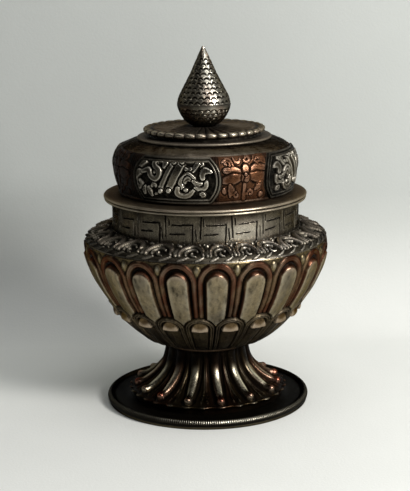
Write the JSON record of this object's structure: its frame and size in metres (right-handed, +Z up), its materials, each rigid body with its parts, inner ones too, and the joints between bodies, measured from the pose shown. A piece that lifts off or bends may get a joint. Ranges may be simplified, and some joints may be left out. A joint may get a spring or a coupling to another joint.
{
  "type": "offering vessel",
  "caption": "Footed round vessel with petal bowl, shoulder and straight neck, and a domed lift-off lid with a teardrop finial, for holding offerings.",
  "frame": {"origin": "middle of the underside, on the surface that the vessel stands on", "axes": "+Z up along the turning axis, -Y towards the front as pictured"},
  "size_m": [0.102, 0.102, 0.1497],
  "materials": {
    "base_bronze": "dark patinated bronze, softly polished",
    "wire_bronze": "worn milled wire",
    "foot_copper": "dark copper with worn bright ribs",
    "bowl_silver": "warm tarnished silver with copper between the petals",
    "shoulder_silver": "dark chased silver with bright high points",
    "neck_silver": "hatched worn silver",
    "rim_silver": "brownish worn silver",
    "drum_copper": "chased copper with dark recesses",
    "plaque_silver": "raised silver on a blackened ground",
    "rosette_silver": "dark silver with bright lobes",
    "finial_silver": "polished silver with punched scales and copper tints"
  },
  "bodies": {
    "vessel": {"base_plate": "base_bronze", "base_wire": "wire_bronze", "foot": "foot_copper", "foot_collar": "base_bronze", "bowl": "bowl_silver", "shoulder": "shoulder_silver", "neck_collar": "neck_silver", "mouth_rim": "rim_silver"},
    "lid": {"lid_flange": "rim_silver", "lid_bezel": "neck_silver", "lid_drum": "drum_copper", "lid_plaque_1": "plaque_silver", "lid_plaque_2": "plaque_silver", "lid_plaque_3": "plaque_silver", "lid_plaque_4": "plaque_silver", "lid_step_plate": "rosette_silver", "lid_rosette": "rosette_silver", "finial_cup": "finial_silver", "finial_cone": "finial_silver", "finial_rivet": "wire_bronze", "finial_washer": "base_bronze"}
  },
  "joints": [
    {"name": "lid_lift", "type": "slide", "parent": "vessel", "child": "lid", "axis": [0, 0, 1], "range_m": [0, 0.05]}
  ]
}
